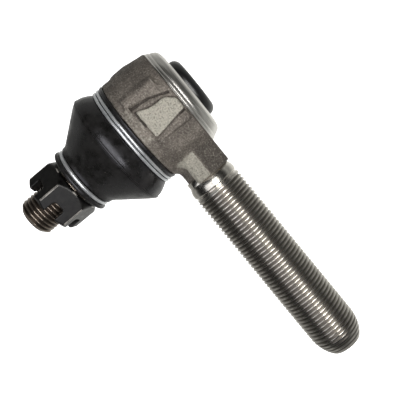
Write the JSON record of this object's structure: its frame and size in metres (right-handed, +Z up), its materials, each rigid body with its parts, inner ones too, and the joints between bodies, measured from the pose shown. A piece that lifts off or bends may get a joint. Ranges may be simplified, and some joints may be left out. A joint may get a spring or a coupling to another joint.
{
  "type": "tie rod end",
  "caption": "Ball joint with a forged socket, a long threaded shank, a rubber dust boot and a tapered stud with a castle nut.",
  "frame": {"origin": "centre of the ball, where the stud's axis meets the shank's axis", "axes": "+X along the threaded shank to its free end, -Y along the stud to its threaded tip, +Y through the end cap, +Z up as the part lies on its side"},
  "size_m": [0.1256, 0.0742, 0.0432],
  "materials": {
    "forged_steel": "rough forged scale with turned faces",
    "turned_steel": "turned and rolled thread",
    "boot_rubber": "semi-gloss moulded",
    "zinc_wire": "bright zinc",
    "black_oxide": "black oxide with worn edges",
    "black_cap": "gloss black",
    "bearing_plastic": "moulded",
    "spring_steel": "satin"
  },
  "bodies": {
    "socket": {"housing": "forged_steel", "front_seat": "bearing_plastic", "rear_seat": "bearing_plastic", "preload_spring": "spring_steel", "cap_seal": "boot_rubber", "end_cap": "black_cap", "large_boot_clip": "zinc_wire"},
    "boot": {"dust_boot": "boot_rubber"},
    "boot_lip": {"small_boot_clip": "zinc_wire"},
    "stud": {"ball_stud": "turned_steel", "castle_nut": "black_oxide"}
  },
  "joints": [
    {"name": "swing_about_shank", "type": "hinge", "parent": "socket", "child": "boot", "pos_m": [0, 0, 0], "axis": [1, 0, 0], "range_deg": [-18, 18], "deforming": ["dust_boot"]},
    {"name": "swing_across_shank", "type": "hinge", "parent": "boot", "child": "boot_lip", "pos_m": [0, 0, 0], "axis": [0, 0, 1], "range_deg": [-18, 18]},
    {"name": "stud_spin", "type": "hinge", "parent": "boot_lip", "child": "stud", "pos_m": [0, 0, 0], "axis": [0, -1, 0], "continuous": true}
  ]
}
